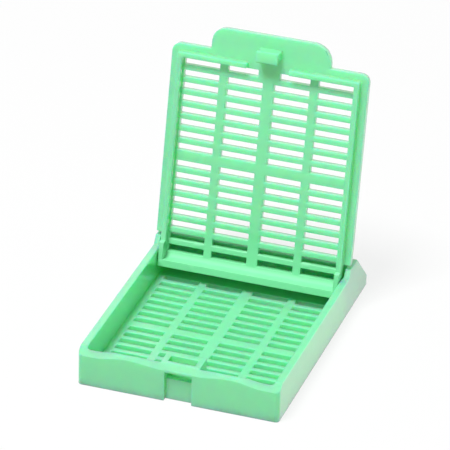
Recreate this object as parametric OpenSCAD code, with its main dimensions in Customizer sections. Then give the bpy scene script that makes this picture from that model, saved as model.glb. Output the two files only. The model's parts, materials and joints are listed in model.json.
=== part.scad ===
// Tissue cassette, standing open: a shallow tray with a slotted floor, and a slotted lid
// that turns on two small side pins near the tray's rear end. Both are one-piece mouldings.
// Millimetres. The origin is the middle of the tray's underside, +X runs across the tray,
// +Y from the front wall to the writing panel, and +Z up.

/* [Tray] */
// Width over the side walls
tray_w = 28.8; // [25:0.1:34]
// Length from the front wall's face to the writing panel's rear edge
tray_l = 40.5; // [38:0.1:46]
// Height of the closed cassette, which the ears and the bridge strip also have
closed_h = 6.75; // [6:0.05:8]
// Thickness of the floor
floor_t = 1.2; // [0.8:0.05:1.6]
// Thickness of the side walls
side_wall_t = 1.05; // [0.8:0.05:1.3]
// Thickness of the front wall and of the writing panel's rear edge
wall_t = 0.85; // [0.7:0.05:1.2]
// Radius of the tray's upright outer corners
corner_r = 0.6; // [0.2:0.1:2]
// Radius of the hollow's upright corners
hollow_r = 0.5; // [0.2:0.1:2.5]

/* [Front wall] */
// Height of the front face at the corners
front_corner_h = 4.6; // [4.2:0.05:5]
// Height of the front face at the two humps
front_hump_h = 5.25; // [4.9:0.05:5.5]
// Height of the front face at the latch
front_latch_h = 4.85; // [4.6:0.05:5.2]
// Distance of each hump from the middle
hump_x = 7.6; // [5:0.1:10]
// Length over which the front face falls from a hump towards the corner
hump_fall_l = 4.45; // [3:0.05:6]
// Slope of the front wall's top, rising inward
front_slope = 38; // [20:1:50]

/* [Writing panel] */
// Slope of the panel
panel_angle = 45; // [40:1:50]
// Height of the panel's upright rear edge
panel_edge_h = 1.2; // [0.8:0.05:2]
// Thickness of the panel
panel_t = 1.0; // [0.7:0.05:1.3]
// Length of the bridge strip in front of the panel
strip_l = 2.15; // [1.8:0.05:3]
// Thickness of the strip
strip_t = 1.05; // [0.7:0.05:1.3]
// Thickness of the rear wall under the strip
rear_wall_t = 0.9; // [0.7:0.05:1.2]
// Distance of the rear wall's inner face from the strip's rear edge
rear_wall_inset = 0.55; // [0.3:0.05:0.8]
// Diameter of the small holes in the strip
strip_hole_d = 0.85; // [0.5:0.05:1]
// Distance of each pair of holes from the middle
strip_pair_x = 7.65; // [5:0.05:10]
// Distance between the two holes of a pair
strip_hole_step = 2.0; // [1.2:0.1:3]

/* [Ears] */
// Thickness of the ears, which raise the side walls at the hinge
ear_t = 0.8; // [0.5:0.05:1]
// Length of the ears in front of the bridge strip
ear_l = 1.9; // [1:0.1:2.5]
// Slope of the ears' front ends
ear_angle = 55; // [40:1:80]

/* [Slots] */
// Width of a slot
slot_w = 1.0; // [0.6:0.05:1.2]
// Rows of slots in each half
half_rows = 8; // [6:1:9]
// Distance between the two rows on either side of the middle bar
middle_step = 2.5; // [2.2:0.1:3]
// Distance of the first row from the front face
first_row = 2.4; // [2.3:0.05:3]
// Distance of the last row from the hinge axis
last_row_margin = 0.6; // [0.55:0.01:1]
// Width of the bar in the middle
centre_bar = 1.6; // [1.2:0.1:2.5]
// Width of the bars beside it
side_bar = 1.15; // [0.8:0.05:2]
// Land between the slots and the lid's lips
edge_land = 0.15; // [0.1:0.01:0.5]

/* [Lid] */
// Thickness of the lid's plate
lid_t = 1.1; // [0.8:0.05:1.4]
// Distance of the plate's side edges from the side walls' outer faces
plate_inset = 0.1; // [0:0.05:0.4]
// Depth of the lips under the plate
lip_depth = 1.0; // [0.8:0.05:2]
// Thickness of the lips
lip_t = 0.75; // [0.5:0.05:1]
// Gap between the lips and the tray's walls
lip_clear = 0.1; // [0.08:0.02:0.3]
// Gap between the side walls and the plate over them
seat_gap = 0.1; // [0.05:0.01:0.3]
// Radius of the lid's front corners
lid_corner_r = 1.2; // [0.5:0.1:2]
// Length of the lid's narrow end in front of the hinge axis
narrow_l = 2.7; // [2.6:0.1:4]
// Depth of the rounded rear end's edge under the hinge axis
rear_drop = 0.85; // [0.6:0.05:1.2]

/* [Hinge] */
// Depth of the hinge axis under the lid's outer face, and radius of the lid's rear end
hinge_drop = 1.9; // [1.7:0.05:2.2]
// Diameter of the side pins
pin_d = 0.9; // [0.6:0.05:1]
// Length of the pins inside the walls
pin_bite = 0.45; // [0.3:0.05:0.6]
// Gap around the pins
pin_clear = 0.05; // [0.03:0.01:0.08]
// Angle of the open lid, from closed
open_angle = 101.5; // [0:0.5:108]
// Gap between the open lid and the strip that it leans on
lean_gap = 0.05; // [0.02:0.01:0.2]

/* [Tab] */
// Width of the finger tab
tab_w = 17.3; // [12:0.1:22]
// Length of the tab in front of the lid
tab_l = 3.2; // [2.5:0.1:5]
// Radius of the tab's left corner
tab_left_r = 2.0; // [0.5:0.1:3]
// Radius of the tab's right corner
tab_right_r = 2.7; // [0.5:0.1:3]

/* [Latch] */
// Width of the latch
latch_w = 3.1; // [2.5:0.1:4]
// Thickness of the latch arm
latch_arm_t = 1.25; // [0.9:0.05:2]
// Gap between the latch arm and the front wall
latch_arm_gap = 0.12; // [0.08:0.02:0.3]
// Height of the latch nose
nose_h = 0.65; // [0.5:0.05:1]
// Reach of the nose under the bar
nose_reach = 0.4; // [0.2:0.05:0.6]
// Gap over the nose
nose_clear = 0.1; // [0.08:0.02:0.2]
// Gap on each side of the latch in its recess
recess_clear = 0.4; // [0.1:0.05:0.6]
// Height of the bar over the window
bar_h = 0.4; // [0.3:0.05:0.6]
// Height of the window
window_h = 1.2; // [1:0.05:1.5]
// Depth of the recess in the front wall's face
recess_d = 0.7; // [0.5:0.05:0.8]
// Thickness of the wall between the front face and the pocket
pocket_front_t = 1.45; // [1.2:0.05:1.8]
// Length of the pocket behind the window
pocket_l = 1.5; // [1:0.05:2]
// Thickness of the pocket's side walls
pocket_side_t = 0.85; // [0.6:0.05:1.2]
// Thickness of the pocket's rear wall
pocket_rear_t = 1.0; // [0.6:0.05:1.5]
// Gap between the pocket's walls and the lid's front lip
pocket_clear = 0.25; // [0.15:0.05:0.5]

/* [Hidden] */
$fn = 64;
// Overlap and overshoot of the solids and cuts
e = 0.01;
over = 2;

// Heights
side_h = closed_h - lid_t - seat_gap;
plate_z = closed_h - lid_t;
lip_z = plate_z - lip_depth;
hinge_z = closed_h - hinge_drop;

// Lengths, from the front face
lean = open_angle - 90;
panel_y = tray_l - (closed_h - panel_edge_h) / tan(panel_angle);
strip_y = panel_y - strip_l;
ear_y = strip_y - ear_l;
hinge_y = strip_y - lean_gap - hinge_drop * (1 / cos(lean) + tan(lean));
rear_wall_y = panel_y - rear_wall_inset;
strip_hole_y = (strip_y + rear_wall_y) / 2 + rear_wall_inset / 2;

// Widths
hollow_w = tray_w - 2 * side_wall_t;
plate_w = tray_w - 2 * plate_inset;
lid_in_w = hollow_w - 2 * lip_clear;
slots_w = lid_in_w - 2 * (lip_t + edge_land);
slot_l = (slots_w - centre_bar - 2 * side_bar) / 4;
recess_w = latch_w + 2 * recess_clear;
pocket_w = recess_w + 2 * pocket_side_t;
pocket_y = pocket_front_t + pocket_l + pocket_rear_t;

// Rows of slots, at the same places in the floor and in the lid
row_pitch = (hinge_y - last_row_margin - first_row - middle_step) / (2 * (half_rows - 1));
half_l = (half_rows - 1) * row_pitch;
rows = [for (i = [0:half_rows - 1], start = [first_row, first_row + half_l + middle_step])
    start + i * row_pitch];
columns = [for (side = [-1, 1], near = [centre_bar / 2, centre_bar / 2 + slot_l + side_bar])
    side * (near + slot_l / 2)];

// Latch window and nose
window_top = front_latch_h - bar_h;
nose_top = window_top - nose_clear;
nose_z = nose_top - nose_h;

// Smooth step from 0 to 1
function ease(t) = (1 - cos(180 * min(1, max(0, t)))) / 2;

// Height of the front wall's face at x: low at the corners, with a hump on each side
function front_h(x) = abs(x) < hump_x
    ? front_latch_h + (front_hump_h - front_latch_h)
        * ease((abs(x) - pocket_w / 2) / (hump_x - pocket_w / 2))
    : front_hump_h - (front_hump_h - front_corner_h)
        * ease((abs(x) - hump_x) / hump_fall_l);

// Rectangle from (x0, y0) to (x1, y1), its corners rounded in turn from the first one
module rounded_rect(x0, x1, y0, y1, radii) {
    places = [[x0, y0], [x1, y0], [x1, y1], [x0, y1]];
    difference() {
        translate([x0, y0]) square([x1 - x0, y1 - y0]);
        for (i = [0:3])
            if (radii[i] > 0)
                translate(places[i]) rotate(90 * i) difference() {
                    translate([-over, -over]) square(radii[i] + over);
                    translate([radii[i], radii[i]]) circle(radii[i]);
                }
    }
}

// Outline in Y and Z, extruded across the part and centred on x = 0
module across(width) {
    translate([-width / 2, 0, 0]) rotate([90, 0, 90]) linear_extrude(width) children();
}

// The grid of slots, cut through from z0 to z1
module slots(z0, z1) {
    for (x = columns, y = rows)
        translate([x - slot_l / 2, y - slot_w / 2, z0]) cube([slot_l, slot_w, z1 - z0]);
}

// The tray's block, before it is hollowed: rounded in plan, with the ears and the panel
module tray_block() {
    intersection() {
        linear_extrude(closed_h)
            rounded_rect(-tray_w / 2, tray_w / 2, 0, tray_l, [for (i = [0:3]) corner_r]);
        across(tray_w) polygon([[0, 0], [tray_l, 0], [tray_l, panel_edge_h],
            [panel_y, closed_h], [ear_y + (closed_h - side_h) / tan(ear_angle), closed_h],
            [ear_y, side_h], [0, side_h]]);
    }
}

// The hollow under the lid, which runs in under the bridge strip and is wider between the ears
module tray_hollow() {
    between_ears = tray_w - 2 * ear_t;
    difference() {
        union() {
            translate([0, 0, floor_t]) linear_extrude(closed_h)
                rounded_rect(-hollow_w / 2, hollow_w / 2, wall_t, rear_wall_y,
                    [hollow_r, hollow_r, 0, 0]);
            translate([-between_ears / 2, ear_y - e, side_h])
                cube([between_ears, strip_y - ear_y + e, closed_h]);
        }
        translate([-tray_w / 2, strip_y, closed_h - strip_t])
            cube([tray_w, tray_l, closed_h]);
    }
}

// The hollow under the writing panel, open at the bottom
module panel_hollow() {
    y0 = rear_wall_y + rear_wall_t;
    inner_top = closed_h - panel_t / cos(panel_angle);
    y1 = tray_l - wall_t;
    across(hollow_w) polygon([[y0, -over], [y1, -over],
        [y1, max(0, inner_top - (y1 - panel_y) * tan(panel_angle))],
        [y0, inner_top - (y0 - panel_y) * tan(panel_angle)]]);
}

// What is cut off above the front wall: a sloping top that follows the waved front edge
module front_trim() {
    reach = tray_w / 2 + over;
    step = 0.5;
    xs = [for (x = [-reach:step:reach]) x];
    rotate([90 + front_slope, 0, 0]) linear_extrude(2 * closed_h, center = true)
        polygon(concat([for (x = xs) [x, front_h(x) * cos(front_slope)]],
            [[xs[len(xs) - 1], 2 * closed_h], [xs[0], 2 * closed_h]]));
}

// Block behind the front wall, around the pocket
module pocket_block() {
    translate([-pocket_w / 2, wall_t - e, 0]) cube([pocket_w, pocket_y - wall_t + e, side_h]);
}

// Recess in the front face, the window over it and the pocket behind
module latch_cuts() {
    translate([-recess_w / 2, -over, -over]) cube([recess_w, recess_d + over, window_top + over]);
    translate([-recess_w / 2, -over, window_top - window_h])
        cube([recess_w, pocket_front_t + over + e, window_h]);
    translate([-recess_w / 2, pocket_front_t, floor_t])
        cube([recess_w, pocket_l, closed_h]);
}

// Blind sockets for the lid's pins, in the inner faces of the side walls
module pin_sockets() {
    depth = pin_bite + 2 * pin_clear;
    for (side = [0, 1]) mirror([side, 0, 0])
        translate([hollow_w / 2 - over, hinge_y, hinge_z])
            rotate([0, 90, 0]) cylinder(h = depth + over, d = pin_d + 2 * pin_clear);
}

// Four small holes through the bridge strip
module strip_holes() {
    for (pair = [-1, 1], end = [-1, 1])
        translate([pair * strip_pair_x + end * strip_hole_step / 2, strip_hole_y,
            closed_h - strip_t - e])
            cylinder(h = strip_t + over, d = strip_hole_d);
}

module tray() {
    color("#82dda6") translate([0, -tray_l / 2, 0]) difference() {
        union() {
            difference() {
                tray_block();
                tray_hollow();
            }
            pocket_block();
        }
        difference() {
            slots(-over, floor_t + e);
            translate([-pocket_w / 2 - edge_land, 0, -2 * over])
                cube([pocket_w + 2 * edge_land, pocket_y + edge_land, 4 * over]);
        }
        panel_hollow();
        front_trim();
        latch_cuts();
        pin_sockets();
        strip_holes();
    }
}

// The lid's plate over the side walls, with the finger tab
module lid_plate() {
    wide_end = hinge_y - narrow_l;
    translate([0, 0, plate_z]) linear_extrude(lid_t) {
        rounded_rect(-plate_w / 2, plate_w / 2, 0, wide_end, [lid_corner_r, lid_corner_r, 0, 0]);
        rounded_rect(-tab_w / 2, tab_w / 2, -tab_l, wall_t, [tab_left_r, tab_right_r, 0, 0]);
    }
}

// Lips inside the front wall and the side walls, parted at the pocket
module lips() {
    half_w = lid_in_w / 2;
    y0 = wall_t + lip_clear;
    outer_r = hollow_r - lip_clear;
    inner_r = max(0, outer_r - lip_t);
    part_w = pocket_w + 2 * pocket_clear;
    translate([0, 0, lip_z]) linear_extrude(lip_depth + e) difference() {
        rounded_rect(-half_w, half_w, y0, hinge_y, [outer_r, outer_r, 0, 0]);
        rounded_rect(-half_w + lip_t, half_w - lip_t, y0 + lip_t, hinge_y + over,
            [inner_r, inner_r, 0, 0]);
        translate([-part_w / 2, 0]) square([part_w, y0 + lip_t + over]);
    }
}

// The lid's narrow end between the side walls: flat, then rounded about the hinge axis and
// drawn down to an edge below it
module rear_end() {
    inner_r = hinge_drop - lid_t;
    flat_l = narrow_l + over;
    below = 2 * hinge_drop;
    translate([0, hinge_y, hinge_z]) across(lid_in_w) difference() {
        union() {
            circle(hinge_drop);
            translate([-flat_l, 0]) square([flat_l, hinge_drop]);
            translate([0, -rear_drop]) square([hinge_drop, 2 * rear_drop]);
        }
        circle(inner_r);
        translate([-flat_l - over, -below]) square([flat_l + over, below + inner_r]);
        translate([-over, -below]) square([inner_r + over, below]);
        translate([-over, -below]) square([below, below - rear_drop]);
    }
}

// Closed ends of the rounded rear end, with the pins on them
module pin_ends() {
    for (side = [0, 1]) mirror([side, 0, 0])
        translate([lid_in_w / 2, hinge_y, hinge_z]) {
            translate([-lip_t / 2, 0, 0]) across(lip_t) intersection() {
                circle(hinge_drop);
                translate([-hinge_drop, -rear_drop])
                    square([2 * hinge_drop, rear_drop + hinge_drop]);
            }
            translate([-lip_t / 2, 0, 0]) rotate([0, 90, 0])
                cylinder(h = lip_t / 2 + lip_clear + pin_bite, d = pin_d);
        }
}

// Latch arm under the tab, with a nose that reaches under the bar when the lid is closed
module latch() {
    across(latch_w) polygon([[-latch_arm_gap - latch_arm_t, nose_z], [0, nose_z],
        [nose_reach, nose_z + nose_h / 2], [nose_reach, nose_top],
        [-latch_arm_gap, nose_top], [-latch_arm_gap, plate_z + e],
        [-latch_arm_gap - latch_arm_t, plate_z + e]]);
}

// The lid as it lies when closed
module closed_lid() {
    difference() {
        union() {
            lid_plate();
            lips();
            rear_end();
            pin_ends();
            latch();
        }
        difference() {
            slots(plate_z - e, closed_h + over);
            translate([-latch_w / 2, 0, 0])
                cube([latch_w, first_row + row_pitch / 2, 2 * closed_h]);
        }
    }
}

module lid() {
    color("#80e0a8") translate([0, -tray_l / 2, 0])
        translate([0, hinge_y, hinge_z]) rotate([-open_angle, 0, 0])
            translate([0, -hinge_y, -hinge_z]) closed_lid();
}

tray();
lid();
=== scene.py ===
# %% [markdown]
# # A tissue cassette, standing open
#
# A tissue cassette holds a small tissue sample while it lies in a chain of liquids. It is
# two plastic mouldings. The tray has a slotted floor, low walls and a sloping writing panel
# behind. The lid has the same slots, turns on two side pins and clips shut with a latch.
# Here it stands open, with the lid leaning back on the tray.
#
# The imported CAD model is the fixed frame: it says where each moulding is and how it turns.
# This lesson builds a finer skin for both mouldings in the same place, and then gives them
# their plastic, a floor, light and a camera.

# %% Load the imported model
import json
import math

import bpy
import numpy as np
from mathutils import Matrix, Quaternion, Vector


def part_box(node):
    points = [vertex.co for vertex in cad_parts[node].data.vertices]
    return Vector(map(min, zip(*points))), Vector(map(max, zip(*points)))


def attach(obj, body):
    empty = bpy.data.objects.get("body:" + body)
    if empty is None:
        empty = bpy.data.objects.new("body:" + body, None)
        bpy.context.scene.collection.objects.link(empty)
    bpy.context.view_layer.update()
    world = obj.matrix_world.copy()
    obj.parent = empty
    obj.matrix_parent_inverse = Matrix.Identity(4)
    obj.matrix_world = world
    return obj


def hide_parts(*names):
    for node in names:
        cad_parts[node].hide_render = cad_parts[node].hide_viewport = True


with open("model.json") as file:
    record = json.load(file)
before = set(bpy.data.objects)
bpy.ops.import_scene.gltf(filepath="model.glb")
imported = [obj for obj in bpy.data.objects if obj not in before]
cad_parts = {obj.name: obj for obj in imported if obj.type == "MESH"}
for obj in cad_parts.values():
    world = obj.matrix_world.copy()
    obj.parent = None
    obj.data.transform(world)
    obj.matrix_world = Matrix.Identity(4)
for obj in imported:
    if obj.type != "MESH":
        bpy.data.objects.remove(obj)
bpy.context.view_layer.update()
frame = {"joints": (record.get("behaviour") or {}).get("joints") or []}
hinge = next(j for j in frame["joints"] if j["name"] == "lid_hinge")

# %% [markdown]
# ## The sizes
#
# Everything below is in millimetres, measured from the tray's front face (y), its middle
# (x) and its underside (z), as a drawing of the cassette would be. The outer sizes and the
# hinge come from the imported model, so the skins can't drift away from it. The others are
# this cassette's own walls, slots and clip. A point counts as lying on a line when it is
# within a hair of it.

# %% Sizes of the cassette
MM = 0.001
tray_low, tray_high = (np.array(c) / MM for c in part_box("tray"))
HALF_W = tray_high[0]
LENGTH = tray_high[1] - tray_low[1]
TOP = tray_high[2]
FRONT = tray_low[1]
HINGE_Y = hinge["pos_m"][1] / MM - FRONT
HINGE_Z = hinge["pos_m"][2] / MM
OPEN = math.radians(hinge["range_deg"][1])

WALL, SIDE_WALL, FLOOR_T, LID_T, SEAT_GAP, LIP_GAP = 0.85, 1.05, 1.2, 1.1, 0.1, 0.1
HAIR, JUST_OVER_1 = 0.01, 1.001
SIDE_TOP = TOP - LID_T - SEAT_GAP
PLATE_Z = TOP - LID_T
INNER = HALF_W - SIDE_WALL
LID_IN = INNER - LIP_GAP
STRIP_Y, PANEL_Y, EAR_Y, REAR_WALL_Y, REAR_WALL_T = 32.8, 34.95, 30.92, 34.4, 0.9
RECESS, POCKET, POCKET_Y, PARTED = 1.95, 2.8, 3.95, 3.05
CENTRE_BAR, SIDE_BAR, LAND = 1.6, 1.15, 0.15
print("hinge at y", round(HINGE_Y, 2), "z", round(HINGE_Z, 2), "| opens",
      round(math.degrees(OPEN), 1), "degrees | side walls", round(SIDE_TOP, 2), "mm high")

# %% [markdown]
# ## Where the slots lie
#
# Floor and lid have the same grid: four columns, and sixteen rows in two groups of eight
# with a wider bar between them. A slot runs from one line to the next, so the grid is kept
# as pairs of lines, which the mouldings are cut along.

# %% Columns and rows of slots
SLOT_W, SLOT_L, HALF_ROWS, MIDDLE_STEP, FIRST_ROW, LAST_MARGIN = 1.0, 5.2, 8, 2.5, 2.4, 0.6
PITCH = (HINGE_Y - LAST_MARGIN - FIRST_ROW - MIDDLE_STEP) / (2 * (HALF_ROWS - 1))
near = np.array([CENTRE_BAR / 2, CENTRE_BAR / 2 + SLOT_L + SIDE_BAR])
columns = np.stack([near, near + SLOT_L], 1)
columns = np.concatenate([-columns[::-1, ::-1], columns])
starts = np.array([[FIRST_ROW], [FIRST_ROW + (HALF_ROWS - 1) * PITCH + MIDDLE_STEP]])
row_middles = (starts + PITCH * np.arange(HALF_ROWS)).ravel()
rows = np.stack([row_middles - SLOT_W / 2, row_middles + SLOT_W / 2], 1)


def inside(values, pairs):
    """True where a value lies between the two ends of any of the pairs."""
    v = np.asarray(values)[..., None]
    return ((v > pairs[:, 0]) & (v < pairs[:, 1])).any(-1)


print(len(columns) * len(rows), "slots, rows", round(PITCH, 3), "mm apart")

# %% [markdown]
# ## A moulding as blocks on a lattice
#
# A slotted moulding is mostly straight walls and bars, so it could be cut from a block with
# booleans, or modelled bar by bar. Booleans leave long thin triangles, and separate bars
# would not be one moulding. Here the space is divided by lines along x, y and z at every
# wall and slot. A cell between them is plastic or air, and one array says which. The skin
# is the set of cell faces that lie between plastic and air. It is closed by its nature, has
# only four-sided faces, and the lines can be bent afterwards, which gives the round corners,
# the waved front and the sloping panel.


# %% From cells to a closed skin
SAME_LINE = 0.02


def lines(*values, mirror=False):
    """Sorted lattice lines, those within SAME_LINE of each other as one. With mirror, each
    line also stands on the other side of 0."""
    v = np.concatenate([np.ravel(a) for a in values]).astype(float)
    v = np.concatenate([-v, v]) if mirror else v
    v = np.sort(v)
    return v[np.concatenate([[True], np.diff(v) > SAME_LINE])]


def cells(x, y, z):
    """Middles of all cells: the means of neighbouring lines, as three arrays."""
    return np.meshgrid(*((a[1:] + a[:-1]) / 2 for a in (x, y, z)), indexing="ij")


def corners(x, y, z):
    """Positions of all line crossings, as one array with x, y and z last."""
    return np.stack(np.meshgrid(x, y, z, indexing="ij"), -1)


def skin(solid, points):
    """Points and four-sided faces between plastic and air.

    Along each axis a face lies where the next cell differs from this one. Its corners are
    p, p + b, p + b + c, p + c with b and c the other two axes, turned round where the
    plastic lies beyond it, so that every face points outwards.
    """
    padded = np.pad(solid, 1).astype(np.int8)
    number = np.arange(points[..., 0].size).reshape(points.shape[:3])
    faces = []
    for a in range(3):
        change = np.diff(padded, axis=a)
        change = change[tuple(slice(None) if i == a else slice(1, -1) for i in range(3))]
        b, c = np.eye(3, dtype=int)[(a + 1) % 3], np.eye(3, dtype=int)[(a + 2) % 3]
        for sign, order in ((-1, [0, 1, 2, 3]), (1, [3, 2, 1, 0])):
            p = np.argwhere(change == sign)
            ring = np.stack([p, p + b, p + b + c, p + c], 1)
            faces.append(number[tuple(np.moveaxis(ring, -1, 0))][:, order])
    used, faces = np.unique(np.concatenate(faces), return_inverse=True)
    return points.reshape(-1, 3)[used], faces.reshape(-1, 4)


def rounded(points, centre, towards, radius, where=True):
    """Square corner bent onto an arc, seen from above.

    With u and v the distances from the arc's centre over its radius, both 0 to 1 in the
    corner's square, a point goes to u sqrt(1 - v v / 2), v sqrt(1 - u u / 2). That keeps
    the square's two inner sides and lays its two outer sides on the arc.
    """
    u, v = ((points[..., i] - centre[i]) * towards[i] / radius for i in (0, 1))
    spot = where & (u > 0) & (v > 0) & (u < JUST_OVER_1) & (v < JUST_OVER_1)
    out = points.copy()
    for i, (a, b) in enumerate(((u, v), (v, u))):
        arc = centre[i] + towards[i] * radius * a * np.sqrt(1 - np.clip(b * b, 0, 1) / 2)
        out[..., i] = np.where(spot, arc, points[..., i])
    return out


print("lattice helpers ready")

# %% [markdown]
# ## The tray
#
# The tray is one moulding: a slotted floor, side walls with two thin ears at the hinge, a
# waved front wall with the latch window, a bridge strip with four small holes, and the
# writing panel. Its lattice has a line at each of these faces, and a few more where an arc
# or the wave needs them. One upright line serves two places, which the shaping moves apart:
# the top of the latch window in front and the underside of the pin sockets at the hinge.

# %% The tray's lattice and its plastic
CORNER_R, HOLLOW_R, EAR_T = 0.6, 0.5, 0.8
WINDOW_Z, SHARED_Z, LEDGE_Z, STRIP_Z = 3.25, 4.4, 4.45, TOP - 1.05
RECESS_Y, POCKET_FRONT, POCKET_BACK = 0.7, 1.45, 2.9
LAND_X, LAND_Y = POCKET + LAND, POCKET_Y + LAND
PIN_R, SOCKET_R, SOCKET_X = 0.45, 0.5, 13.9
HOLE_R, HOLE_Y, HOLE_X = 0.425, 33.875, np.array([6.65, 8.65])
quarters = HOLE_R * np.array([-1, -0.5, 0, 0.5, 1])
wave_x = (3.6, 4.3, 5.1, 7.6, 9.8, 10.5, 11.3)
panel_y = (36.5, 38)

tray_x = lines(columns[2:], RECESS, POCKET, LAND_X, wave_x,
               HOLE_X[:, None] + quarters, INNER - HOLLOW_R * np.array([1, 0.6, 0.3, 0]),
               HALF_W - EAR_T, SOCKET_X, HALF_W - CORNER_R * np.array([1, 0.5, 0.25, 0]),
               mirror=True)
tray_y = lines(CORNER_R * np.array([0, 0.25, 0.5, 1]), RECESS_Y,
               WALL + HOLLOW_R * np.array([0, 0.3, 0.6, 1]), POCKET_FRONT, rows, POCKET_Y, LAND_Y,
               HINGE_Y + SOCKET_R * np.array([-1, 0]), EAR_Y, STRIP_Y, HOLE_Y + quarters,
               REAR_WALL_Y, PANEL_Y, REAR_WALL_Y + REAR_WALL_T, panel_y,
               LENGTH - WALL, LENGTH - CORNER_R * np.array([1, 0.5, 0.25, 0]))
tray_z = lines(0, FLOOR_T, WINDOW_Z, SHARED_Z, HINGE_Z, HINGE_Z + SOCKET_R, SIDE_TOP,
               STRIP_Z, TOP)

X, Y, Z = cells(tray_x, tray_y, tray_z)
A = np.abs(X)
air = (Z > SIDE_TOP) & (Y < EAR_Y)
air |= (A < HALF_W - EAR_T) & (Z > SIDE_TOP) & (Y < STRIP_Y)
air |= (A < INNER) & (Y > WALL) & (Y < REAR_WALL_Y) & (Z > FLOOR_T) & (Z < SIDE_TOP)
air |= (A < INNER) & (Y > WALL) & (Y < REAR_WALL_Y) & (Z > SIDE_TOP) & (Z < STRIP_Z)
air |= (A < INNER) & (Y > REAR_WALL_Y + REAR_WALL_T) & (Y < LENGTH - WALL) & (Z < STRIP_Z)
plastic = ~air | ((A < POCKET) & (Y < POCKET_Y) & (Z < SIDE_TOP))
plastic &= ~((A < RECESS) & (Y < RECESS_Y) & (Z < LEDGE_Z))
plastic &= ~((A < RECESS) & (Y < POCKET_FRONT) & (Z > WINDOW_Z) & (Z < LEDGE_Z))
plastic &= ~((A < RECESS) & (Y > POCKET_FRONT) & (Y < POCKET_BACK) & (Z > FLOOR_T))
land = (A < LAND_X) & (Y < LAND_Y)
plastic &= ~(inside(X, columns) & inside(Y, rows) & (Z < FLOOR_T) & ~land)
near_pin = (np.abs(Y - HINGE_Y) < SOCKET_R) & (np.abs(Z - HINGE_Z) < SOCKET_R)
plastic &= ~((A > INNER) & (A < SOCKET_X) & near_pin)
hole_x = (np.abs(A[..., None] - HOLE_X) < HOLE_R).any(-1)
plastic &= ~(hole_x & (np.abs(Y - HOLE_Y) < HOLE_R) & (Z > STRIP_Z))
print("tray lattice", plastic.shape, "cells,", int(plastic.sum()), "of them plastic")

# %% [markdown]
# ## Bending the tray's lattice
#
# The straight blocks become the real moulding in four steps. The upright corners go onto
# arcs, inside and outside. The four strip holes and the two pin sockets go from squares to
# circles. The front wall's top follows a wave, rises inward at a slope and meets the side
# walls. Behind the strip, the panel's top falls at 45 degrees, and the ears lean back.


# %% The tray's shape
RIM_SLOPE, EAR_SLOPE = (math.tan(math.radians(angle)) for angle in (38, 55))
PANEL_T, PANEL_EDGE = 1.0, 0.6


def ease(t):
    """Smooth step: half of 1 minus the cosine, from 0 at t = 0 to 1 at t = 1."""
    return (1 - np.cos(np.pi * np.clip(t, 0, 1))) / 2


def front_height(x):
    """Height of the front face at x: low at the corners, with a hump on each side."""
    latch_h, hump_h, corner_h, hump_x, fall_l = 4.85, 5.25, 4.6, 7.6, 4.45
    a = np.abs(x)
    near = latch_h + (hump_h - latch_h) * ease((a - POCKET) / (hump_x - POCKET))
    far = hump_h - (hump_h - corner_h) * ease((a - hump_x) / fall_l)
    return np.where(a < hump_x, near, far)


def round_hole(points, axes, centre, radius):
    """Square hole to a round one: u and v from -1 to 1 over the square go onto the disc,
    to u sqrt(1 - v v / 2) and v sqrt(1 - u u / 2)."""
    u, v = ((points[..., axes[i]] - centre[i]) / radius for i in (0, 1))
    spot = (np.abs(u) < JUST_OVER_1) & (np.abs(v) < JUST_OVER_1)
    out = points.copy()
    for i, (a, b) in enumerate(((u, v), (v, u))):
        disc = centre[i] + radius * a * np.sqrt(1 - np.clip(b * b, 0, 1) / 2)
        out[..., axes[i]] = np.where(spot, disc, points[..., axes[i]])
    return out


def tray_shape(points):
    """The tray's lattice, bent: arcs and circles from above, then the heights."""
    x, y, z = (points[..., i].copy() for i in range(3))
    within = (np.abs(x) < INNER + HAIR) & (y > WALL - HAIR)
    hinge_end = (y > HINGE_Y - 2 * SOCKET_R) & (y < EAR_Y + HAIR)
    z = np.where(np.isclose(z, SHARED_Z), np.where(hinge_end, HINGE_Z - SOCKET_R, LEDGE_Z), z)
    points = np.stack([x, y, z], -1)
    for side in (-1, 1):
        points = rounded(points, (side * (HALF_W - CORNER_R), CORNER_R), (side, -1),
                         CORNER_R, ~within)
        points = rounded(points, (side * (HALF_W - CORNER_R), LENGTH - CORNER_R), (side, 1),
                         CORNER_R)
        points = rounded(points, (side * (INNER - HOLLOW_R), WALL + HOLLOW_R), (side, -1),
                         HOLLOW_R, within)
        socket = round_hole(points, (1, 2), (HINGE_Y, HINGE_Z), SOCKET_R)
        wall = (side * x > INNER - HAIR) & (side * x < SOCKET_X + HAIR)
        points = np.where(wall[..., None], socket, points)
        for hx in HOLE_X:
            hole = round_hole(points, (0, 1), (side * hx, HOLE_Y), HOLE_R)
            points = np.where((z > STRIP_Z - HAIR)[..., None], hole, points)
    x, y, z = (points[..., i] for i in range(3))
    top = np.minimum(SIDE_TOP, front_height(x) + y * RIM_SLOPE)
    raised = (z > LEDGE_Z) & (z < SIDE_TOP + HAIR) & (y < POCKET_FRONT)
    share = (z - LEDGE_Z) / (SIDE_TOP - LEDGE_Z)
    z = np.where(raised, LEDGE_Z + share * (top - LEDGE_Z), z)
    slope_top = TOP - (y - PANEL_Y)
    under = np.maximum(PANEL_EDGE, slope_top - PANEL_T * math.sqrt(2))
    sloping = np.where(z > STRIP_Z + HAIR, slope_top, z * under / STRIP_Z)
    z = np.where(y > PANEL_Y + HAIR, sloping, z)
    ear = np.isclose(points[..., 1], EAR_Y) & (z > SIDE_TOP + HAIR)
    y = np.where(ear, EAR_Y + (z - SIDE_TOP) / EAR_SLOPE, y)
    return np.stack([x, y, z], -1)


tray_skin = skin(plastic, tray_shape(corners(tray_x, tray_y, tray_z)))
print("tray skin:", len(tray_skin[0]), "points,", len(tray_skin[1]), "faces")

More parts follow.
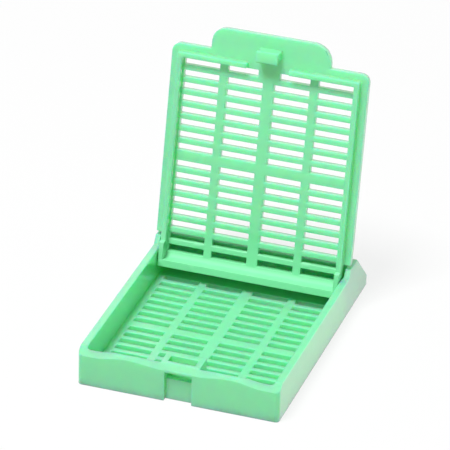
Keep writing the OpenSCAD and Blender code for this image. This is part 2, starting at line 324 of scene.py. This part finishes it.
# %% [markdown]
# ## The lid
#
# The lid is the second moulding. It is drawn closed, as it would lie on the tray, because
# its slots, lips and latch fit the tray there, and it is turned to its open place last. Its
# plate has the same grid of slots, a finger tab in front, and a narrow end between the side
# walls that rolls down around the hinge axis. Lips under the plate stand inside the walls,
# and the latch arm hangs from the tab.

# %% The lid's lattice and its plastic
LIP_T, LIP_Z, PLATE_X, LID_R, WIDE_END = 0.75, PLATE_Z - 1.0, HALF_W - 0.1, 1.2, HINGE_Y - 2.7
LIP_Y, LIP_R = WALL + LIP_GAP, HOLLOW_R - LIP_GAP
TAB_X, TAB_L, TAB_RADII = 8.65, 3.2, {-1: 2.0, 1: 2.7}
LATCH_X, ARM_FRONT, ARM_T, NOSE_Y, NOSE_Z, NOSE_TOP = 1.55, -0.12, 1.25, 0.4, 3.7, 4.35
NOSE_TIP_Z = NOSE_Z + 0.325
ROLL_R, ROLL_END, DROP = TOP - HINGE_Z, HINGE_Y + 3.0, 0.85
LATCH_LAND = FIRST_ROW + PITCH / 2

tab_arc_x, plate_arc_x = (6.6, 7.8, 8.25, 8.5), (13.5, 13.8, 14.05)
tab_arc_y, plate_arc_y = (-3.0, -2.7, -2.2, -0.7), 0.2

lid_x = lines(columns[2:], LATCH_X, PARTED, tab_arc_x, TAB_X, LID_IN - LIP_T,
              LID_IN - LIP_R * np.array([1, 0.5, 0]), plate_arc_x, PLATE_X, mirror=True)
lid_y = lines(-TAB_L, tab_arc_y, ARM_FRONT - ARM_T, ARM_FRONT, 0, plate_arc_y, NOSE_Y,
              LIP_Y + LIP_R * np.array([0, 0.5, 1]), LIP_Y + LIP_T, rows, WIDE_END, HINGE_Y,
              np.linspace(HINGE_Y, ROLL_END, 10), ROLL_END + DROP)
lid_z = lines(NOSE_Z, NOSE_TOP, LIP_Z, PLATE_Z, TOP)

X, Y, Z = cells(lid_x, lid_y, lid_z)
A = np.abs(X)
plate = (A < PLATE_X) & (Y > 0) & (Y < WIDE_END)
plate |= (A < TAB_X) & (Y < WALL)
plate |= (A < LID_IN) & (Y > WIDE_END)
cut = inside(X, columns) & inside(Y, rows) & ~((A < LATCH_X) & (Y < LATCH_LAND))
plastic = plate & ~cut & (Z > PLATE_Z)
lip = (A < LID_IN) & (A > LID_IN - LIP_T) & (Y > LIP_Y) & (Y < HINGE_Y)
lip |= (A < LID_IN) & (A > PARTED) & (Y > LIP_Y) & (Y < LIP_Y + LIP_T)
plastic |= lip & (Z > LIP_Z) & (Z < PLATE_Z)
arm = (A < LATCH_X) & (Y > ARM_FRONT - ARM_T) & (Y < ARM_FRONT) & (Z < PLATE_Z)
nose = (A < LATCH_X) & (Y > ARM_FRONT) & (Y < NOSE_Y) & (Z < NOSE_TOP)
plastic |= arm | nose
print("lid lattice", plastic.shape, "cells,", int(plastic.sum()), "of them plastic")

# %% [markdown]
# ## Bending the lid's lattice
#
# The plate's front corners, the tab's two corners and the lips' corners go onto arcs. The
# last cells of the plate roll around the hinge axis: their length becomes an angle, up to a
# right angle, and then runs straight down to an edge.


# %% The lid's shape
def rolled(points):
    """Plate rolled around the hinge axis: a point at depth w under the plate's face and at
    angle t goes to (R - w) sin t behind the axis and (R - w) cos t over it. Past a right
    angle it goes straight down."""
    y, z = points[..., 1], points[..., 2]
    past = np.clip((y - HINGE_Y) / (ROLL_END - HINGE_Y), 0, None)
    t = np.minimum(past, 1) * np.pi / 2
    r = ROLL_R - (TOP - z)
    down = np.clip(y - ROLL_END, 0, None)
    new_y = np.where(past > 0, HINGE_Y + r * np.sin(t), y)
    new_z = np.where(past > 0, HINGE_Z + r * np.cos(t) - down, z)
    return np.stack([points[..., 0], new_y, new_z], -1)


def lid_shape(points):
    """The lid's lattice, bent: the arcs from above, the latch nose's slope and the roll."""
    x, y, z = (points[..., i] for i in range(3))
    a = np.abs(x)
    lip_zone = (a < LID_IN + HAIR) & (y > LIP_Y - HAIR)
    for side in (-1, 1):
        points = rounded(points, (side * (PLATE_X - LID_R), LID_R), (side, -1), LID_R,
                         ~lip_zone)
        points = rounded(points, (side * (LID_IN - LIP_R), LIP_Y + LIP_R), (side, -1), LIP_R,
                         lip_zone)
        r = TAB_RADII[side]
        points = rounded(points, (side * (TAB_X - r), r - TAB_L), (side, -1), r,
                         (y < 0) & (a > LATCH_X + 0.1))
    nose_tip = np.isclose(y, NOSE_Y) & np.isclose(z, NOSE_Z)
    points[..., 2] = np.where(nose_tip, NOSE_TIP_Z, points[..., 2])
    return rolled(points)


lid_skin = skin(plastic, lid_shape(corners(lid_x, lid_y, lid_z)))
print("lid skin:", len(lid_skin[0]), "points,", len(lid_skin[1]), "faces")

# %% [markdown]
# ## The lid's hinge ends and pins
#
# At each side the rolled end is closed by a round cheek, and a small pin stands out of the
# cheek into the wall's socket. Both are simple sections carried along the hinge axis, with
# their rims drawn in so that no edge is knife sharp. The cheek is a few hundredths smaller
# than the rolled end around it, so the two share no face.


# %% Cheeks and pins
def carried(section, stations):
    """Closed outline (n, 2) in y and z, carried along x through stations of (x, scale).

    Each station is the outline times its scale, and the two ends are closed by fans of
    faces to their middles.
    """
    n, m = len(section), len(stations)
    x, scale = np.array(stations).T
    rings = np.empty((m, n, 3))
    rings[..., 0] = x[:, None]
    rings[..., 1:] = section[None] * scale[:, None, None]
    ends = np.zeros((2, 3))
    ends[:, 0] = x[[0, -1]]
    points = np.concatenate([rings.reshape(-1, 3), ends])
    i, j = np.meshgrid(np.arange(m - 1), np.arange(n), indexing="ij")
    k = (j + 1) % n
    sides = np.stack([i * n + j, i * n + k, (i + 1) * n + k, (i + 1) * n + j], -1)
    j = np.arange(n)
    k = (j + 1) % n
    first = np.stack([k, j, np.full(n, m * n)], 1)
    last = np.stack([(m - 1) * n + j, (m - 1) * n + k, np.full(n, m * n + 1)], 1)
    return points, sides.reshape(-1, 4), np.concatenate([first, last])


def cheek_outline(radius, drop, count=40):
    """Circle of the given radius, cut off flat at the drop below its middle."""
    start = math.asin(drop / radius)
    a = np.linspace(-start, math.pi + start, count)
    return radius * np.stack([np.cos(a), np.sin(a)], 1)


CHEEK_FACE, CHEEK_BACK, CHEEK_R = LID_IN - 0.02, LID_IN - LIP_T + 0.03, ROLL_R - 0.04
RIM_L, RIM_SCALE, PIN_ROOT, PIN_SIDES = 0.05, 0.97, CHEEK_BACK + 0.3, 32
cheek = carried(cheek_outline(CHEEK_R, DROP - 0.02),
                [(CHEEK_BACK, RIM_SCALE), (CHEEK_BACK + RIM_L, 1.0),
                 (CHEEK_FACE - RIM_L, 1.0), (CHEEK_FACE, RIM_SCALE)])
around = np.linspace(0, 2 * np.pi, PIN_SIDES, endpoint=False)
pin = carried(PIN_R * np.stack([np.cos(around), np.sin(around)], 1),
              [(PIN_ROOT, 1.0), (INNER + 0.33, 1.0), (INNER + 0.42, 0.92),
               (INNER + PIN_R, 0.75)])
hinge_parts = []
for side in (-1, 1):
    for points, sides, fans in (cheek, pin):
        points = points * (side, 1, 1) + (0, HINGE_Y, HINGE_Z)
        turn = slice(None, None, side)
        hinge_parts.append((points, sides[:, turn], fans[:, turn]))
print("hinge ends:", len(hinge_parts), "closed parts")

# %% [markdown]
# ## From arrays to pieces
#
# Each moulding becomes one mesh. The lid is first turned to its open place about the hinge
# axis. Real mouldings have no sharp edges, because the cutter that made the mould was round
# and the mould is polished. A bevel of a tenth of a millimetre on every edge over 30
# degrees gives that, and weighted normals keep the flat faces flat between the rounded
# edges. Where lattice lines lie closer than the bevel is wide, it would fold back over
# them. So each edge has its own share of the width, as much as the faces beside it have
# room for.


# %% Meshes with softened edges
EDGE_R, SHARP_TURN = 0.1, math.radians(30)
ROOM_ALONE, ROOM_SHARED = 0.9, 0.45


def opened(points):
    """Turns closed-lid points about the hinge axis: y and z by minus the open angle."""
    c, s = math.cos(-OPEN), math.sin(-OPEN)
    y, z = points[..., 1] - HINGE_Y, points[..., 2] - HINGE_Z
    return np.stack([points[..., 0], HINGE_Y + c * y - s * z, HINGE_Z + s * y + c * z], -1)


def read(items, key, kind, width=1):
    """One property of all items, as an array with a row for each item."""
    values = np.empty(len(items) * width, kind)
    items.foreach_get(key, values)
    return values.reshape(-1, width) if width > 1 else values


def edge_shares(mesh, radius):
    """Share of the radius for each edge: 0 where its two faces turn by less than SHARP_TURN,
    and elsewhere at most ROOM_ALONE of the length of the shortest side edge next to it, or
    ROOM_SHARED of it where the far edge of that face is rounded too. The sum of two unit
    normals that turn by an angle has a squared length of 2 plus 2 times its cosine."""
    total = read(mesh.polygons, "loop_total", np.int32)
    face = np.repeat(np.arange(len(total)), total)
    first, sides = read(mesh.polygons, "loop_start", np.int32)[face], total[face]
    turn = np.arange(len(face)) - first
    ahead, across, behind = (first + (turn + step) % sides for step in (1, 2, -1))
    edge = read(mesh.loops, "edge_index", np.int32)
    points = read(mesh.vertices, "co", np.float32, 3)
    ends = points[read(mesh.edges, "vertices", np.int32, 2)]
    length = np.linalg.norm(ends[:, 0] - ends[:, 1], axis=1)
    normal_sum = np.zeros((len(length), 3))
    np.add.at(normal_sum, edge, read(mesh.polygons, "normal", np.float32, 3)[face])
    sharp = (normal_sum ** 2).sum(1) < 2 + 2 * math.cos(SHARP_TURN)
    room = np.minimum(length[edge[ahead]], length[edge[behind]])
    room = room * np.where(sharp[edge[across]], ROOM_SHARED, ROOM_ALONE)
    least = np.full(len(length), radius)
    np.minimum.at(least, edge, room)
    return np.where(sharp, least / radius, 0)


def moulding(name, parts):
    """One object from parts of (points, faces, ...), each in millimetres from the front
    face, with its edges rounded by EDGE_R."""
    faces, points, start = [], [], 0
    for part in parts:
        points.append(part[0])
        for block in part[1:]:
            faces.extend((block + start).tolist())
        start += len(part[0])
    places = (np.concatenate(points) + (0, FRONT, 0)) * MM
    mesh = bpy.data.meshes.new(name)
    mesh.from_pydata(places.tolist(), [], faces)
    mesh.validate()
    mesh.shade_smooth()
    piece = bpy.data.objects.new(name, mesh)
    bpy.context.scene.collection.objects.link(piece)
    shares = mesh.attributes.new("bevel_weight_edge", "FLOAT", "EDGE")
    shares.data.foreach_set("value", edge_shares(mesh, EDGE_R * MM).astype(np.float32))
    bevel = piece.modifiers.new("soft_edges", "BEVEL")
    bevel.width, bevel.segments, bevel.limit_method = EDGE_R * MM, 2, "WEIGHT"
    bevel.use_clamp_overlap = False
    normals = piece.modifiers.new("flat_faces", "WEIGHTED_NORMAL")
    normals.weight = 50
    print(name, len(mesh.vertices), "points", len(mesh.polygons), "faces")
    return piece


tray = moulding("tray_moulding", [tray_skin])
lid = moulding("lid_moulding",
               [(opened(p[0]),) + tuple(p[1:]) for p in [lid_skin] + hinge_parts])
for piece, node in ((tray, "tray"), (lid, "lid")):
    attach(piece, node)
    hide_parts(node)

# %% [markdown]
# ## The plastic
#
# Cassettes are moulded from acetal, a hard, slightly milky plastic that is dyed right
# through. A flat green would look like paint. In real acetal, light travels a little way
# inside: green about three millimetres, blue about one and red hardly at all. That lights
# the thin bars and deepens the colour in the hollows, so the material scatters light below
# its surface with those reaches. It also has a very slight mottle in colour and gloss, and
# a fine bump for the grain of the mould. A clear coat stands for the smooth outer skin,
# which mirrors the white room on the faces that are seen at a glance. All of it reads
# object coordinates, so it stays with the piece when the lid turns.
#
# The lid's skin is made of closed parts that lie inside one another at the hinge: the
# plate, the cheeks and the pins. Light that travels inside one would be stopped by the next
# and leave a dark spot. So near the hinge the lid scatters at its surface only. The
# distance from the hinge line is the length of the place, less a point on that line, with
# its x left out. The share of light that goes inside runs from 0 at 2.4 mm to 1 at 4.5 mm.


# %% Green acetal
GREEN = (0.24, 0.80, 0.42)
SOLID_TO, DEEP_FROM = 2.4 * MM, 4.5 * MM


def acetal(name, colour, seed, solid_axis=None):
    """Dyed acetal in this colour. Near solid_axis, a point (y, z), no light goes inside."""
    material = bpy.data.materials.new(name)
    material.use_nodes = True
    nodes, links = material.node_tree.nodes, material.node_tree.links
    shader = nodes["Principled BSDF"]
    place = nodes.new("ShaderNodeTexCoord")
    shifted = nodes.new("ShaderNodeMapping")
    shifted.inputs["Location"].default_value = (seed, -seed, seed / 2)
    links.new(place.outputs["Object"], shifted.inputs["Vector"])

    def noise(scale, detail):
        n = nodes.new("ShaderNodeTexNoise")
        n.inputs["Scale"].default_value = scale
        n.inputs["Detail"].default_value = detail
        links.new(shifted.outputs["Vector"], n.inputs["Vector"])
        return n

    flow = noise(120, 3)
    tint = nodes.new("ShaderNodeMix")
    tint.data_type = "RGBA"
    tint.inputs[6].default_value = [c * 0.97 for c in colour] + [1]
    tint.inputs[7].default_value = [min(1, c * 1.03) for c in colour] + [1]
    links.new(flow.outputs["Fac"], tint.inputs[0])
    links.new(tint.outputs[2], shader.inputs["Base Color"])

    gloss = nodes.new("ShaderNodeMapRange")
    gloss.inputs["To Min"].default_value = 0.28
    gloss.inputs["To Max"].default_value = 0.38
    links.new(noise(900, 4).outputs["Fac"], gloss.inputs["Value"])
    links.new(gloss.outputs["Result"], shader.inputs["Roughness"])

    grain = nodes.new("ShaderNodeBump")
    grain.inputs["Strength"].default_value = 0.12
    grain.inputs["Distance"].default_value = 0.00002
    links.new(noise(6000, 3).outputs["Fac"], grain.inputs["Height"])
    links.new(grain.outputs["Normal"], shader.inputs["Normal"])

    if solid_axis is not None:
        away = None
        for operation, value in (("SUBTRACT", (0, *solid_axis)), ("MULTIPLY", (0, 1, 1)),
                                 ("LENGTH", None)):
            step = nodes.new("ShaderNodeVectorMath")
            step.operation = operation
            links.new(away or place.outputs["Object"], step.inputs[0])
            if value is not None:
                step.inputs[1].default_value = value
            away = step.outputs["Value" if operation == "LENGTH" else "Vector"]
        depth = nodes.new("ShaderNodeMapRange")
        depth.inputs["From Min"].default_value = SOLID_TO
        depth.inputs["From Max"].default_value = DEEP_FROM
        links.new(away, depth.inputs["Value"])
        links.new(depth.outputs["Result"], shader.inputs["Subsurface Weight"])
    else:
        shader.inputs["Subsurface Weight"].default_value = 1.0
    shader.inputs["Subsurface Radius"].default_value = (0.05, 1.0, 0.35)
    shader.inputs["Subsurface Scale"].default_value = 0.003
    shader.inputs["IOR"].default_value = 1.48
    shader.inputs["Coat Weight"].default_value = 1.0
    shader.inputs["Coat Roughness"].default_value = 0.15
    return material


tray.data.materials.append(acetal("tray_acetal", GREEN, 0.0))
lid.data.materials.append(acetal("lid_acetal", GREEN, 0.31,
                                 ((HINGE_Y + FRONT) * MM, HINGE_Z * MM)))
print("plastic on", tray.name, "and", lid.name)

# %% [markdown]
# ## Floor and light
#
# The cassette stands on a white sheet in a white room. The main light is a lamp high above,
# a little to the front and to the left, and small enough that the latch throws a clear
# shadow on the lid. A weak, low lamp far off on the right stands for a lit wall there, and
# a dim sky fills in. All stay at a plain level, at which a colour renders about as it is
# written. The lamps leave no bright spots on the glossy skin, which mirrors the white room
# instead.
#
# The sheet and the sky each have two levels. Looked at directly, in a mirror or through a
# clear thing, they are white. Where they only throw light on the cassette, they are darker,
# so that its shadows keep their depth. The shadow on the sheet is a faint one, since 0.85
# of the sheet's look is a plain white.

# %% White sheet
def looked_at(tree):
    """1 where the eye meets a surface directly, mirrored or through the plastic, else 0."""
    path = tree.nodes.new("ShaderNodeLightPath")
    total = path.outputs["Is Camera Ray"]
    for way in ("Is Glossy Ray", "Is Transmission Ray"):
        larger = tree.nodes.new("ShaderNodeMath")
        larger.operation = "MAXIMUM"
        tree.links.new(total, larger.inputs[0])
        tree.links.new(path.outputs[way], larger.inputs[1])
        total = larger.outputs[0]
    return total


def ranged(tree, value, low, high):
    """Value carried from the span 0 to 1 onto the span low to high."""
    node = tree.nodes.new("ShaderNodeMapRange")
    node.inputs["To Min"].default_value = low
    node.inputs["To Max"].default_value = high
    tree.links.new(value, node.inputs["Value"])
    return node.outputs["Result"]


half = 1.5
sheet = bpy.data.meshes.new("sheet")
sheet.from_pydata([(-half, -half, 0), (half, -half, 0), (half, half, 0), (-half, half, 0)],
                  [], [(0, 1, 2, 3)])
floor = bpy.data.objects.new("floor", sheet)
floor.location.z = -0.00002
bpy.context.scene.collection.objects.link(floor)
white = bpy.data.materials.new("white_sheet")
white.use_nodes = True
paper = white.node_tree
matt = paper.nodes["Principled BSDF"]
matt.inputs["Roughness"].default_value = 0.9
shown = looked_at(paper)
tone = ranged(paper, shown, 0.55, 0.79)
share = ranged(paper, shown, 0.0, 0.85)
paper.links.new(tone, matt.inputs["Base Color"])
pale = paper.nodes.new("ShaderNodeEmission")
blend = paper.nodes.new("ShaderNodeMixShader")
paper.links.new(share, blend.inputs[0])
paper.links.new(matt.outputs[0], blend.inputs[1])
paper.links.new(pale.outputs[0], blend.inputs[2])
paper.links.new(blend.outputs[0], paper.nodes["Material Output"].inputs["Surface"])
sheet.materials.append(white)

world = bpy.data.worlds.new("soft_sky")
bpy.context.scene.world = world
world.use_nodes = True
sky = world.node_tree
sky.links.new(ranged(sky, looked_at(sky), 0.2, 1.0), sky.nodes["Background"].inputs["Strength"])
sky.nodes["Background"].inputs["Color"].default_value = (1, 1, 1, 1)


def lamp(name, place, aim, size, power):
    """Square soft lamp at place, facing aim, in metres and watts, not mirrored in gloss."""
    data = bpy.data.lights.new(name, "AREA")
    data.size, data.energy = size, power
    light = bpy.data.objects.new(name, data)
    light.location = place
    direction = np.array(aim) - np.array(place)
    light.rotation_euler = Vector(direction).to_track_quat("-Z", "Y").to_euler()
    bpy.context.scene.collection.objects.link(light)
    light.visible_glossy = False
    return light


lamp("window", (-0.15, -0.33, 0.92), (0, 0, 0.01), 0.3, 11.2)
lamp("far_wall", (0.85, 0.12, 0.06), (0, 0, 0.012), 0.1, 1.5)
print("floor, sky and 2 lamps")

# %% [markdown]
# ## The camera
#
# The cassette is small and the camera stands well back with a long lens, as a product
# photographer would, so that the far end is hardly smaller than the near one. It looks a
# little from the right and down, and is tilted sideways by a degree and a half.

# %% Camera
TILT = math.radians(1.52)
view = bpy.data.cameras.new("view")
view.lens, view.sensor_width = 364.5, 36.0
view.clip_start, view.clip_end = 0.01, 10
camera = bpy.data.objects.new("view", view)
bpy.context.scene.collection.objects.link(camera)
camera.location = (0.16748, -0.51849, 0.32118)
aim = Vector((-0.003687, 0.0100, 0.011115)) - camera.location
camera.rotation_mode = "QUATERNION"
camera.rotation_quaternion = aim.to_track_quat("-Z", "Y") @ Quaternion((0, 0, 1), TILT)
bpy.context.scene.camera = camera
print("camera", round(1000 * aim.length), "mm from the cassette")

# %% [markdown]
# ## Closing
#
# The standard view transform leaves colours as they are.

# %% View transform
bpy.context.scene.view_settings.view_transform = "Standard"
